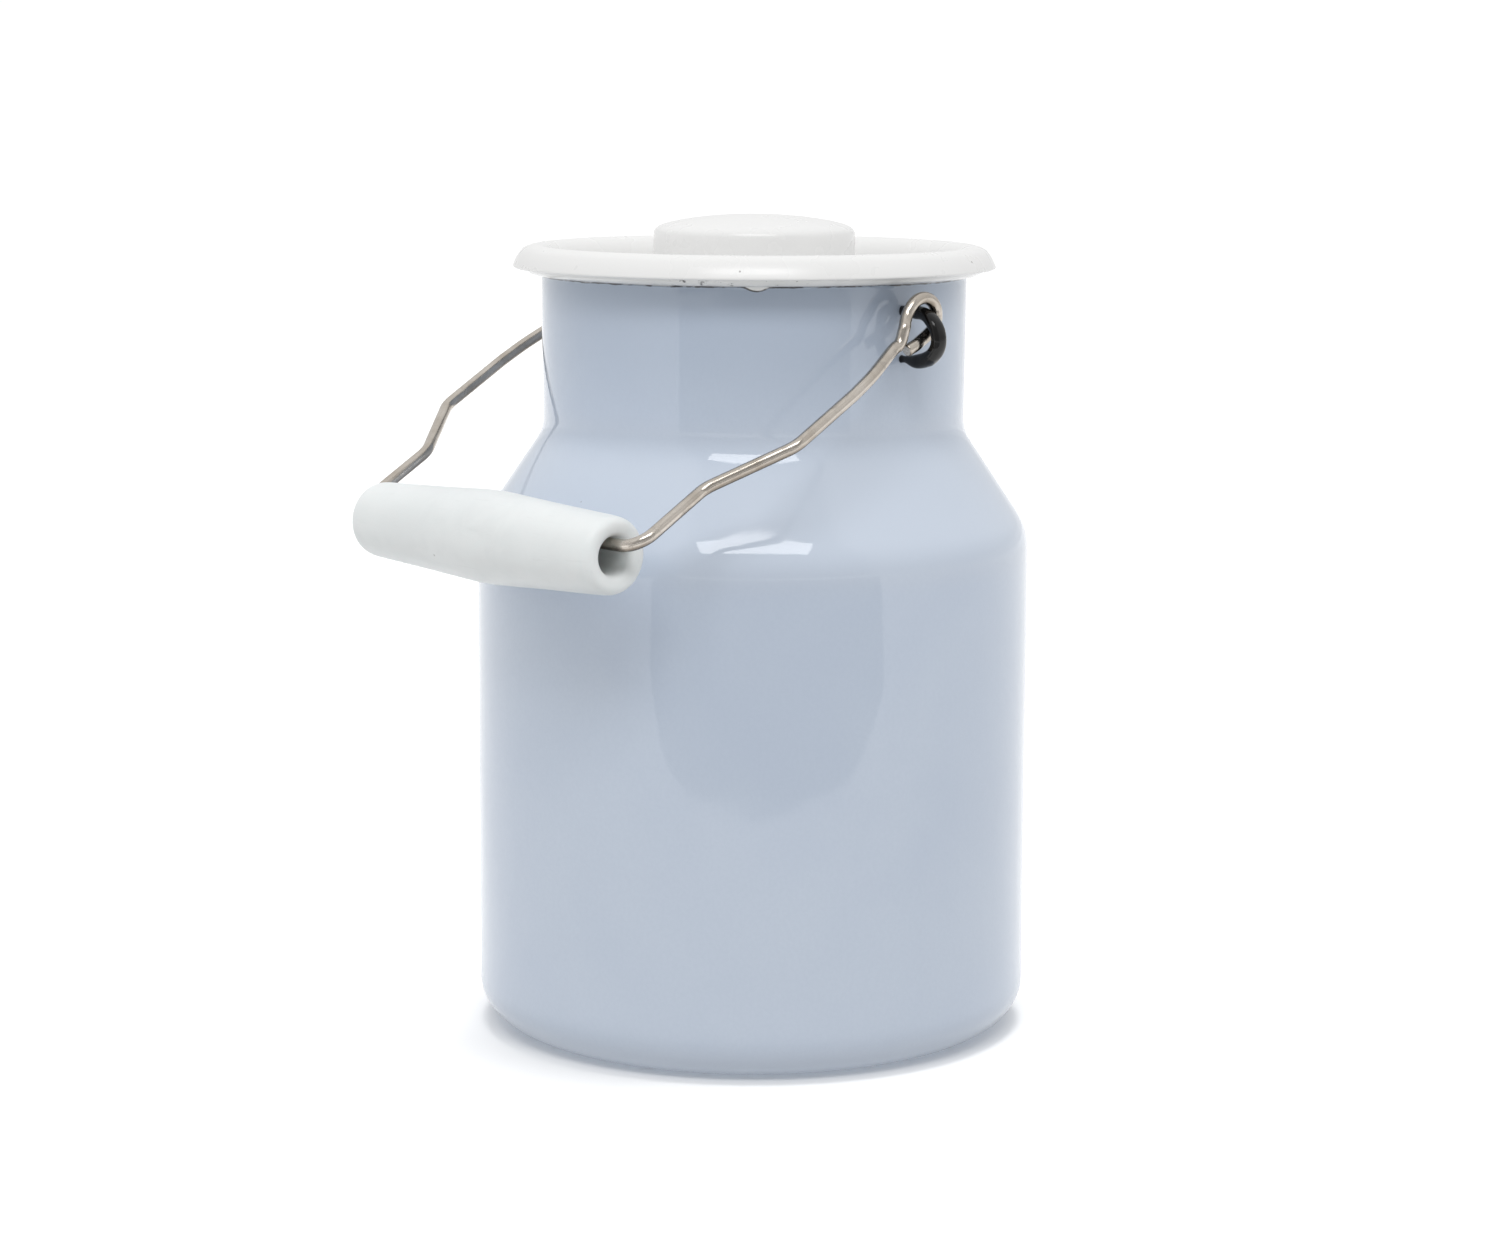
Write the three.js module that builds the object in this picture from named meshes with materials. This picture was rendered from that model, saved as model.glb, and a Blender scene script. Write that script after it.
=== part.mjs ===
// Two-litre enamelled steel milk can with a plug-in lid and a wire bail.
// Millimetres, +Z up. The origin is the centre of the flat base underside.
// X runs through the two carrying ears; at rest the bail leans down towards -Y.
import * as THREE from 'three';

// ---------------------------------------------------------------- driving sizes
const SHEET = 1.2;                 // enamelled sheet thickness
const BODY_R = 70.0;               // outer radius of the body wall
const BASE_CORNER_R = 11.65;       // outside radius between base and wall
const SHOULDER_LOW_Z = 127.2;      // corner between wall and shoulder cone
const SHOULDER_LOW_R = 15.1;       // rounding of that corner
const SHOULDER_TOP_Z = 152.15;     // corner between shoulder cone and neck
const SHOULDER_TOP_R = 10.1;       // rounding of that corner
const NECK_R_LOW = 53.2;           // neck radius at the shoulder
const NECK_R_TOP = 53.55;          // neck radius under the rim
const RIM_OUT_R = 58.2;            // outside radius of the rolled rim
const RIM_HALF_W = 2.9;            // half width of the roll, radially
const RIM_HALF_H = 2.85;           // half height of the roll
const RIM_MID_Z = 193.95;          // height of the middle of the roll
const TURN = 56;                   // facets around the large turned shells

const PLUG_R = 51.9;               // outside radius of the lid's plug wall
const LID_FLOOR_Z = 189.0;         // upper face of the sunk lid floor
const LIP_R = 60.76;               // outside radius of the lid lip
const KNOB_R = 25.4;               // radius of the lid knob
const KNOB_FOOT_Z = LID_FLOOR_Z + 0.3;
const KNOB_TOP_Z = 206.15;
const KNOB_TURN = 40;

const PIVOT_Z = 183.4;             // height that the ears and the bail are drawn from
const WIRE_R = 1.5;                // bail wire radius
const WIRE_SIDES = 8;
const BAIL_DROP_DEG = 30.6;        // lean of the resting bail below level
const HOOK_X = 62.6;               // where each hook runs out into its arm
const ARM_X = 66.57;               // plane of the outer arms
const ARM_IN_X = 53.34;            // plane of the inner arms beside the grip
const JOG_START = 54.2;            // where the arms start to step in
const JOG_END = 73.35;             // where they are parallel again
const REACH = 97.1;                // PIVOT_Z line to the grip wire
// Centreline of the wire hook, from the cut stub to the arm, as [x, y, z] from
// the middle of the bail's own frame. It leans in towards the neck at its loop.
const HOOK_LINE = [
  [62.62, -7.2, -7.55], [62.62, -5.8, -7.0], [62.6, -4.5, -6.5], [62.3, -3.3, -6.05], [61.95, -2.0, -5.5],
  [61.75, -0.6, -4.85], [61.55, 1.0, -3.95], [61.4, 2.3, -3.05], [61.3, 3.25, -1.9], [61.25, 3.78, -0.6],
  [61.2, 3.88, 0.6], [61.2, 3.72, 1.7], [61.25, 2.85, 3.15], [61.3, 1.6, 4.1], [61.35, 0.1, 4.6],
  [61.4, -1.3, 4.6], [61.4, -2.7, 4.2], [61.4, -4.15, 3.3], [61.4, -5.3, 2.0], [61.45, -6.2, 0.6],
  [61.85, -7.1, -0.7], [62.52, -8.0, -2.0], [62.6, -8.6, -3.4], [62.62, -9.05, -4.7], [62.62, -9.6, -5.65],
  [62.65, -10.45, -6.45],
];

const EAR_FOOT_X = NECK_R_TOP + 0.3;
// The ear: [x, z from PIVOT_Z, half width along Y, half thickness],
// from its upper foot on the neck, round the bend, to its small lower foot.
const EAR_LINE = [
  [EAR_FOOT_X, 1.15, 1.4, 1.3], [55.2, 1.15, 1.58, 1.45], [57.2, 1.08, 1.72, 1.58], [59.2, 0.95, 1.8, 1.6],
  [61.0, 0.7, 1.78, 1.55], [62.3, 0.2, 1.82, 1.55], [63.55, -0.6, 1.95, 1.58], [64.7, -1.7, 2.05, 1.5],
  [65.55, -3.1, 2.1, 1.42], [66.0, -4.7, 2.1, 1.4], [65.95, -6.3, 2.1, 1.45], [65.25, -7.8, 2.1, 1.6],
  [64.0, -9.05, 2.05, 1.75], [62.35, -9.95, 2.0, 1.85], [60.5, -10.5, 1.88, 1.85], [58.7, -10.75, 1.65, 1.68],
  [57.0, -10.7, 1.32, 1.35], [55.7, -10.55, 1.0, 1.0], [54.8, -10.5, 0.8, 0.82], [EAR_FOOT_X, -10.5, 0.8, 0.85],
];
const EAR_SIDES = 16;
const EAR_SQUARENESS = 2.4;        // 2 is an ellipse, more is squarer

const GRIP_HALF = 46.2;            // half length of the grip sleeve
const GRIP_R_MID = 11.25;
const GRIP_R_END = 9.25;
const GRIP_BORE_R = 4.55;
const GRIP_TURN = 28;

// ---------------------------------------------------------------- materials
const finish = (color, roughness, metalness) =>
  new THREE.MeshStandardMaterial({ color, roughness, metalness });
const blueEnamel = () => finish(0xc0cddc, 0.18, 0.0);
const whiteEnamel = () => finish(0xf3f3f1, 0.2, 0.0);
const blackEnamel = () => finish(0x101113, 0.15, 0.0);
const stainless = () => finish(0xb7b2aa, 0.28, 1.0);
const whitePlastic = () => finish(0xedf3f3, 0.5, 0.0);

// ---------------------------------------------------------------- helpers
// A chain of corners [x, y, radius] becomes a chain of points with each
// corner rounded to its radius in n steps.
function rounded(corners, n = 4) {
  const out = [];
  for (let i = 0; i < corners.length; i++) {
    const [x, y, r] = corners[i];
    if (!r) { out.push([x, y]); continue; }
    const p = corners[i - 1], q = corners[i + 1];
    const a = [p[0] - x, p[1] - y], b = [q[0] - x, q[1] - y];
    const la = Math.hypot(...a), lb = Math.hypot(...b);
    const ua = [a[0] / la, a[1] / la], ub = [b[0] / lb, b[1] / lb];
    const half = Math.acos(ua[0] * ub[0] + ua[1] * ub[1]) / 2;
    const t = r / Math.tan(half), d = r / Math.sin(half);
    const m = [ua[0] + ub[0], ua[1] + ub[1]], lm = Math.hypot(...m);
    const c = [x + m[0] / lm * d, y + m[1] / lm * d];
    const s = [x + ua[0] * t - c[0], y + ua[1] * t - c[1]];
    const e = [x + ub[0] * t - c[0], y + ub[1] * t - c[1]];
    const a0 = Math.atan2(s[1], s[0]);
    let da = Math.atan2(e[1], e[0]) - a0;
    while (da > Math.PI) da -= 2 * Math.PI;
    while (da < -Math.PI) da += 2 * Math.PI;
    for (let k = 0; k <= n; k++) {
      const w = a0 + da * k / n;
      out.push([c[0] + r * Math.cos(w), c[1] + r * Math.sin(w)]);
    }
  }
  return out;
}

// Turns a chain of [radius, height] points about Z.
function turned(points, facets) {
  const g = new THREE.LatheGeometry(points.map(([r, z]) => new THREE.Vector2(r, z)), facets);
  return g.rotateX(Math.PI / 2);
}

// A path through given points, stepped point by point, so that tight bends
// get short steps and straight runs get long ones.
class SteppedPath extends THREE.Curve {
  constructor(points) { super(); this.points = points; }
  getPoint(t, target = new THREE.Vector3()) {
    const n = this.points.length - 1, f = Math.min(Math.max(t, 0), 1) * n;
    const i = Math.min(Math.floor(f), n - 1);
    return target.lerpVectors(this.points[i], this.points[i + 1], f - i);
  }
  getPointAt(u, target) { return this.getPoint(u, target); }
  getTangentAt(u, target = new THREE.Vector3()) {
    const n = this.points.length - 1, i = Math.round(u * n);
    const a = this.points[Math.max(i - 1, 0)], b = this.points[Math.min(i + 1, n)];
    return target.subVectors(b, a).normalize();
  }
  getSpacedPoints(n) {
    return Array.from({ length: n + 1 }, (_, i) => this.getPoint(i / n));
  }
}

function wire(points, radius, sides) {
  const section = new THREE.Shape();
  for (let k = 0; k < sides; k++) {
    const w = 2 * Math.PI * k / sides;
    const x = radius * Math.cos(w), y = radius * Math.sin(w);
    if (k) section.lineTo(x, y); else section.moveTo(x, y);
  }
  section.closePath();
  return new THREE.ExtrudeGeometry(section, {
    steps: points.length - 1, extrudePath: new SteppedPath(points), bevelEnabled: false,
  });
}

// A bar of changing section carried along a path in the XZ plane, with flat
// ends. Stations are [x, z, half width along Y, half thickness].
function bar(stations, sides, power) {
  const position = [], index = [], n = stations.length;
  const bulge = (v) => Math.sign(v) * Math.abs(v) ** (2 / power);
  for (let i = 0; i < n; i++) {
    const a = stations[Math.max(i - 1, 0)], b = stations[Math.min(i + 1, n - 1)];
    const l = Math.hypot(b[0] - a[0], b[1] - a[1]);
    const nx = -(b[1] - a[1]) / l, nz = (b[0] - a[0]) / l;
    const [x, z, w, h] = stations[i];
    for (let k = 0; k < sides; k++) {
      const t = 2 * Math.PI * (k + 0.5) / sides;
      const u = w * bulge(Math.cos(t)), v = h * bulge(Math.sin(t));
      position.push(x + nx * v, u, z + nz * v);
    }
  }
  for (let i = 0; i < n - 1; i++) {
    for (let k = 0; k < sides; k++) {
      const j = (k + 1) % sides, a = i * sides, b = a + sides;
      index.push(a + k, a + j, b + j, a + k, b + j, b + k);
    }
  }
  for (let k = 1; k < sides - 1; k++) {
    const e = (n - 1) * sides;
    index.push(0, k + 1, k, e, e + k, e + k + 1);
  }
  const g = new THREE.BufferGeometry();
  g.setAttribute('position', new THREE.Float32BufferAttribute(position, 3));
  g.setIndex(index);
  g.computeVertexNormals();
  return g;
}

function piece(name, geometry, material) {
  const mesh = new THREE.Mesh(geometry, material);
  mesh.name = name;
  return mesh;
}

// ---------------------------------------------------------------- can body
// One drawn shell: flat base, straight wall, shoulder cone, neck, and the
// neck's edge rolled outwards into a round rim. Open at the top.
function canBody() {
  const lean = Math.atan2(BODY_R - NECK_R_LOW, SHOULDER_TOP_Z - SHOULDER_LOW_Z);
  const drop = SHEET * Math.tan(lean / 2);
  const outside = rounded([
    [0, 0, 0],
    [BODY_R, 0, BASE_CORNER_R],
    [BODY_R, SHOULDER_LOW_Z, SHOULDER_LOW_R],
    [NECK_R_LOW, SHOULDER_TOP_Z, SHOULDER_TOP_R],
    [NECK_R_TOP, RIM_MID_Z - RIM_HALF_H * 0.83, 0],
  ], 5);
  const roll = [];
  const rimMidR = RIM_OUT_R - RIM_HALF_W;
  for (const deg of [-98, -72, -45, -20, 5, 30, 58, 90, 122, 152, 180]) {
    const w = deg * Math.PI / 180;
    roll.push([rimMidR + RIM_HALF_W * Math.cos(w), RIM_MID_Z + RIM_HALF_H * Math.sin(w)]);
  }
  const inside = rounded([
    [NECK_R_TOP - SHEET, RIM_MID_Z - RIM_HALF_H, 0],
    [NECK_R_LOW - SHEET, SHOULDER_TOP_Z - drop, SHOULDER_TOP_R + SHEET],
    [BODY_R - SHEET, SHOULDER_LOW_Z - drop, SHOULDER_LOW_R - SHEET],
    [BODY_R - SHEET, SHEET, BASE_CORNER_R - SHEET],
    [0, SHEET, 0],
  ], 4);
  return turned([...outside, ...roll, ...inside], TURN);
}

// ---------------------------------------------------------------- ears
// A thick bar bent to a C in the XZ plane, both feet on the neck wall. The
// bail hooks round its upper leg; the eye between the legs takes the hook.
function ear() {
  return bar(EAR_LINE, EAR_SIDES, EAR_SQUARENESS);
}

// ---------------------------------------------------------------- lid
// One pressing: sunk floor, plug wall that enters the neck, rounded crest
// that sits on the rolled rim, and a lip that hangs outside it.
function lidShell() {
  const wallIn = PLUG_R - SHEET;
  const top = [
    ...rounded([[0, LID_FLOOR_Z, 0], [wallIn, LID_FLOOR_Z, 2.6], [wallIn, 193.8, 0]], 3),
    [50.95, 195.4], [51.8, 196.9], [53.2, 198.0], [55.2, 198.4], [57.0, 198.1],
    [58.4, 197.3], [59.5, 195.9], [60.3, 194.4], [LIP_R, 193.0],
  ];
  const under = [
    [59.62, 193.0], [59.05, 194.4], [58.35, 195.4], [57.5, 196.35], [56.55, 196.95],
    [55.2, 197.2], [53.75, 196.95], [52.75, 196.1], [52.1, 195.0],
    ...rounded([[PLUG_R, 193.7, 0], [PLUG_R, LID_FLOOR_Z - SHEET, 2.6 + SHEET],
      [0, LID_FLOOR_Z - SHEET, 0]], 3),
  ];
  return turned([...top, ...under].reverse(), TURN);
}

// A hollow pressed cap with its open side down on the lid floor.
function lidKnob() {
  const outer = [
    [KNOB_R, KNOB_FOOT_Z], [KNOB_R, 201.3], [25.05, 202.1], [24.35, 202.85], [23.2, 203.5],
    [20.1, 204.35], [13.6, 205.35], [6.8, 205.95], [0, KNOB_TOP_Z],
  ];
  const inner = [
    [0, KNOB_TOP_Z - SHEET], [6.8, 204.75], [13.5, 204.15], [19.9, 203.1], [22.8, 202.3],
    [23.7, 201.7], [24.2, 200.9], [KNOB_R - SHEET, KNOB_FOOT_Z], [KNOB_R, KNOB_FOOT_Z],
  ];
  return turned([...outer, ...inner], KNOB_TURN);
}

// ---------------------------------------------------------------- bail
// Half of the wire, from the stub of its hook to the middle of the grip.
// The arms lie in the plane that leans down through the line y = 0 at PIVOT_Z.
// Points are relative to that line.
function bailHalf() {
  const tilt = BAIL_DROP_DEG * Math.PI / 180;
  const lean = (x, s) => new THREE.Vector3(x, -s * Math.cos(tilt), -s * Math.sin(tilt));
  const points = HOOK_LINE.map((p) => new THREE.Vector3(...p));
  points.push(lean(HOOK_X + 0.15, 12.9), lean(63.2, 15.6), lean(64.4, 20), lean(65.7, 25.5));
  const arm = rounded([
    [ARM_X, 33, 0], [ARM_X, JOG_START, 7], [ARM_IN_X, JOG_END, 7], [ARM_IN_X, REACH, 5.6], [0, REACH, 0],
  ], 4);
  arm.splice(1, 0, [ARM_X, 43]);
  for (const [x, s] of arm) points.push(lean(x, s));
  return points;
}

function bailWire() {
  const half = bailHalf();
  const mirrored = half.slice(0, -1).reverse().map((p) => new THREE.Vector3(-p.x, p.y, p.z));
  return wire([...half, ...mirrored], WIRE_R, WIRE_SIDES);
}

// A moulded sleeve, thickest in the middle, loose on the wire.
function gripSleeve() {
  const half = [
    [GRIP_BORE_R, 0], [GRIP_BORE_R, 44.9], [GRIP_BORE_R + 0.5, 45.9], [GRIP_BORE_R + 1.3, GRIP_HALF],
    [7.1, GRIP_HALF], [8.2, 45.75], [8.95, 44.95], [GRIP_R_END, 43.8],
    [10.25, 22.0], [11.0, 7.5], [GRIP_R_MID, 0],
  ];
  const mirror = half.slice(0, -1).reverse().map(([r, y]) => [r, -y]);
  const g = new THREE.LatheGeometry(
    [...half, ...mirror].map(([r, y]) => new THREE.Vector2(r, y)).reverse(), GRIP_TURN);
  return g.rotateZ(-Math.PI / 2);
}

// ---------------------------------------------------------------- assembly
const can = new THREE.Group();

can.add(piece('can_body', canBody(), blueEnamel()));

const earRight = piece('ear_right', ear(), blackEnamel());
earRight.position.set(0, 0, PIVOT_Z);
const earLeft = piece('ear_left', ear(), blackEnamel());
earLeft.position.set(0, 0, PIVOT_Z);
earLeft.rotation.z = Math.PI;
can.add(earRight, earLeft);

const lid = new THREE.Group();
lid.add(piece('lid_shell', lidShell(), whiteEnamel()));
lid.add(piece('lid_knob', lidKnob(), whiteEnamel()));
can.add(lid);

const bail = new THREE.Group();
bail.position.set(0, 0, PIVOT_Z);
bail.add(piece('bail_wire', bailWire(), stainless()));
const grip = piece('grip_sleeve', gripSleeve(), whitePlastic());
const drop = BAIL_DROP_DEG * Math.PI / 180;
grip.position.set(0, -REACH * Math.cos(drop),
  -REACH * Math.sin(drop) - (GRIP_BORE_R - WIRE_R - 0.3));
bail.add(grip);
can.add(bail);

export default can;
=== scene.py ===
import math

import bmesh
import bpy
import numpy as np
from mathutils import Matrix, Vector, noise


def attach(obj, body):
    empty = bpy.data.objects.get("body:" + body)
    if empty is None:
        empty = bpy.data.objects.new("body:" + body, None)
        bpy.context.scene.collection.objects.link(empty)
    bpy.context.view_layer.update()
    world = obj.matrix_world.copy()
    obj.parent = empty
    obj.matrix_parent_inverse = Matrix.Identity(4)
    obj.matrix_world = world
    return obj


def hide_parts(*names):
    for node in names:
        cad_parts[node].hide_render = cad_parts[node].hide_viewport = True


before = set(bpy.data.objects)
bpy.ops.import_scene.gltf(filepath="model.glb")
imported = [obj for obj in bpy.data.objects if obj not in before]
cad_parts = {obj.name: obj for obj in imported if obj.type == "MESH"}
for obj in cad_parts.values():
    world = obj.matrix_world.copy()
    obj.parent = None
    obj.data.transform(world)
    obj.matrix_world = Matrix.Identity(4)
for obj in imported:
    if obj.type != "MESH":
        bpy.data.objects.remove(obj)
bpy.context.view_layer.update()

# Two-litre enamelled steel milk can. Profiles below are in millimetres and are
# turned into metres when a mesh is made. X runs through the ears, the bail
# leans down towards -Y, and the base stands on Z = 0.
MM = 0.001
SHEET = 1.2
BODY_R = 70.0
BASE_CORNER_R = 11.65
SHOULDER_LOW_Z, SHOULDER_LOW_R = 127.2, 15.1
SHOULDER_TOP_Z, SHOULDER_TOP_R = 152.15, 10.1
NECK_R_LOW, NECK_R_TOP = 53.2, 53.55
RIM_OUT_R, RIM_HALF_W, RIM_HALF_H, RIM_MID_Z = 58.2, 2.9, 2.85, 193.95
PLUG_R, LID_FLOOR_Z, LIP_R = 51.9, 189.0, 60.76
KNOB_R, KNOB_TOP_Z = 25.4, 206.15
PIVOT_Z = 183.4
WIRE_R = 1.5
BAIL_DROP = math.radians(30.6)
HOOK_X, ARM_X, ARM_IN_X = 62.6, 66.57, 53.34
JOG_START, JOG_END, REACH = 54.2, 73.35, 97.1
GRIP_HALF, GRIP_R_MID, GRIP_R_END, GRIP_BORE_R = 46.2, 11.25, 9.25, 4.55
VIEW_TURN = math.radians(42.0)
# studio levels
WALLS, CEILING, ROOM, BELOW = 0.83, 1.03, 0.48, 0.74
KEY_POWER, TABLE_POWER = 16.5, 1.7

scene = bpy.context.scene


# ------------------------------------------------------------------ geometry
def rounded(corners, n=12):
    """Corners (x, y, radius) to points, each corner rounded in n steps."""
    out = []
    for i, (x, y, r) in enumerate(corners):
        if not r:
            out.append((x, y))
            continue
        p, q = corners[i - 1], corners[i + 1]
        a = Vector((p[0] - x, p[1] - y)).normalized()
        b = Vector((q[0] - x, q[1] - y)).normalized()
        half = math.acos(max(-1, min(1, a.dot(b)))) / 2
        t, d = r / math.tan(half), r / math.sin(half)
        m = (a + b).normalized()
        c = Vector((x, y)) + m * d
        s, e = Vector((x, y)) + a * t - c, Vector((x, y)) + b * t - c
        a0 = math.atan2(s.y, s.x)
        da = math.atan2(e.y, e.x) - a0
        while da > math.pi:
            da -= 2 * math.pi
        while da < -math.pi:
            da += 2 * math.pi
        for k in range(n + 1):
            w = a0 + da * k / n
            out.append((c.x + r * math.cos(w), c.y + r * math.sin(w)))
    return out


def filled(points, step):
    """The same chain with extra points on its long straight runs."""
    out = [points[0]]
    for a, b in zip(points, points[1:]):
        n = max(1, int(math.ceil(math.dist(a, b) / step)))
        out += [tuple(a[k] + (b[k] - a[k]) * j / n for k in range(len(a))) for j in range(1, n + 1)]
    return out


def spline(points, n=6):
    """A centripetal Catmull-Rom curve through the points."""
    p = [np.array(q, float) for q in points]
    p = [2 * p[0] - p[1]] + p + [2 * p[-1] - p[-2]]
    out = []
    for i in range(1, len(p) - 2):
        a, b, c, d = p[i - 1:i + 3]
        t0 = 0.0
        t1 = t0 + max(np.linalg.norm(b - a), 1e-6) ** 0.5
        t2 = t1 + max(np.linalg.norm(c - b), 1e-6) ** 0.5
        t3 = t2 + max(np.linalg.norm(d - c), 1e-6) ** 0.5
        for k in range(n):
            t = t1 + (t2 - t1) * k / n
            a1 = (t1 - t) / (t1 - t0) * a + (t - t0) / (t1 - t0) * b
            a2 = (t2 - t) / (t2 - t1) * b + (t - t1) / (t2 - t1) * c
            a3 = (t3 - t) / (t3 - t2) * c + (t - t2) / (t3 - t2) * d
            b1 = (t2 - t) / (t2 - t0) * a1 + (t - t0) / (t2 - t0) * a2
            b2 = (t3 - t) / (t3 - t1) * a2 + (t - t1) / (t3 - t1) * a3
            out.append(tuple((t2 - t) / (t2 - t1) * b1 + (t - t1) / (t2 - t1) * b2))
    out.append(tuple(p[-2]))
    return out


def eased(points, step, width):
    """Softens where arcs meet straight runs: the slope is averaged over a few
    millimetres and the chain is rebuilt, with both ends kept."""
    p = np.array(points, float)
    seg = np.diff(p, axis=0)
    run = np.hypot(seg[:, 0], seg[:, 1])
    keep = np.r_[True, run > 1e-9]
    p = p[keep]
    seg = np.diff(p, axis=0)
    s = np.r_[0, np.cumsum(np.hypot(seg[:, 0], seg[:, 1]))]
    slope = np.unwrap(np.arctan2(seg[:, 1], seg[:, 0]))
    mid = (s[1:] + s[:-1]) / 2
    n = int(s[-1] / 0.1)
    fine = (np.arange(n) + 0.5) * s[-1] / n
    angle = np.interp(fine, mid, slope)
    k = np.arange(-60, 61) * s[-1] / n
    w = np.exp(-0.5 * (k / width) ** 2)
    angle = np.convolve(np.pad(angle, 60, "edge"), w / w.sum(), "valid")
    d = np.stack([np.cos(angle), np.sin(angle)], 1) * s[-1] / n
    q = np.vstack([p[0], p[0] + np.cumsum(d, axis=0)])
    share = np.linspace(0, 1, len(q))[:, None]
    q = q + (p[-1] - q[-1]) * share
    # points close together where it bends and far apart where it is straight
    bend = np.abs(np.gradient(np.pad(angle, (0, 1), "edge")))
    need = np.cumsum(bend / 0.06 + (s[-1] / n) / step)
    picks = np.searchsorted(need, np.arange(0, need[-1], 1.0))
    return [tuple(q[i]) for i in sorted(set(picks) | {0, len(q) - 1})]


def make(name, verts, faces, attributes=None, smooth=True):
    mesh = bpy.data.meshes.new(name)
    mesh.from_pydata([tuple(c * MM for c in v) for v in verts], [], faces)
    mesh.update()
    for key, values in (attributes or {}).items():
        layer = mesh.attributes.new(key, "FLOAT", "POINT")
        layer.data.foreach_set("value", np.array(values, np.float32))
    bm = bmesh.new()
    bm.from_mesh(mesh)
    bmesh.ops.recalc_face_normals(bm, faces=bm.faces)
    bm.to_mesh(mesh)
    bm.free()
    mesh.polygons.foreach_set("use_smooth", [smooth] * len(mesh.polygons))
    obj = bpy.data.objects.new(name, mesh)
    scene.collection.objects.link(obj)
    return obj


def revolve(name, chain, turns, move=None, closed=False, along="z"):
    """Turns a chain of (radius, height) points; a radius of 0 is a pole."""
    verts, rings, faces = [], [], []
    for r, z in chain:
        if r < 1e-6:
            rings.append([len(verts)])
            verts.append((0.0, 0.0, z))
            continue
        rings.append(list(range(len(verts), len(verts) + turns)))
        for k in range(turns):
            w = 2 * math.pi * k / turns
            verts.append((r * math.cos(w), r * math.sin(w), z))
    pairs = list(zip(rings, rings[1:])) + ([(rings[-1], rings[0])] if closed else [])
    for a, b in pairs:
        for k in range(turns):
            j = (k + 1) % turns
            if len(a) == 1 and len(b) == 1:
                continue
            if len(a) == 1:
                faces.append((a[0], b[j], b[k]))
            elif len(b) == 1:
                faces.append((a[k], a[j], b[0]))
            else:
                faces.append((a[k], a[j], b[j], b[k]))
    if move:
        verts = [move(*v) for v in verts]
    if along == "x":
        verts = [(v[2], v[1], v[0]) for v in verts]
    return make(name, verts, faces)


def section(kind, a, b, n, power=2.0):
    """Points of a superellipse with half sizes a and b."""
    out = []
    for k in range(n):
        w = 2 * math.pi * (k + 0.5) / n
        c, s = math.cos(w), math.sin(w)
        out.append((a * math.copysign(abs(c) ** (2 / power), c), b * math.copysign(abs(s) ** (2 / power), s)))
    return out


def sweep(name, path, shape, side, scale=None, round_ends=0):
    """Carries a section along a path. shape(i, u) gives the section's points as
    (sideways, outwards) offsets; side is the sideways direction to start from."""
    p = [Vector(q) for q in path]
    n = len(p)
    tangents = [(p[min(i + 1, n - 1)] - p[max(i - 1, 0)]).normalized() for i in range(n)]
    length = [0.0]
    for a, b in zip(p, p[1:]):
        length.append(length[-1] + (b - a).length)
    s = Vector(side)
    verts, faces, u_at, a_at, rings = [], [], [], [], []
    for i in range(n):
        t = tangents[i]
        s = (s - t * s.dot(t)).normalized()
        o = t.cross(s)
        pts = shape(i, length[i] / length[-1])
        rings.append(list(range(len(verts), len(verts) + len(pts))))
        for k, (x, y) in enumerate(pts):
            verts.append(tuple(p[i] + s * x + o * y))
            u_at.append(length[i] * MM)
            a_at.append(k / len(pts))
    m = len(rings[0])
    for a, b in zip(rings, rings[1:]):
        for k in range(m):
            j = (k + 1) % m
            faces.append((a[k], a[j], b[j], b[k]))
    for ring, i, u in ((rings[0], 0, 0.0), (rings[-1], n - 1, length[-1] * MM)):
        verts.append(tuple(p[i]))
        u_at.append(u)
        a_at.append(0.5)
        for k in range(m):
            faces.append((ring[k], ring[(k + 1) % m], len(verts) - 1))
    return make(name, verts, faces, {"along": u_at, "around": a_at})


def wave(x, y, z, scale, seed, depth=2):
    v, amp, tot = 0.0, 1.0, 0.0
    for _ in range(depth):
        v += amp * noise.noise(Vector((x / scale + seed, y / scale - seed * 0.7, z / scale + seed * 1.3)))
        tot += amp
        amp *= 0.5
        scale *= 0.5
    return v / tot


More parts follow.
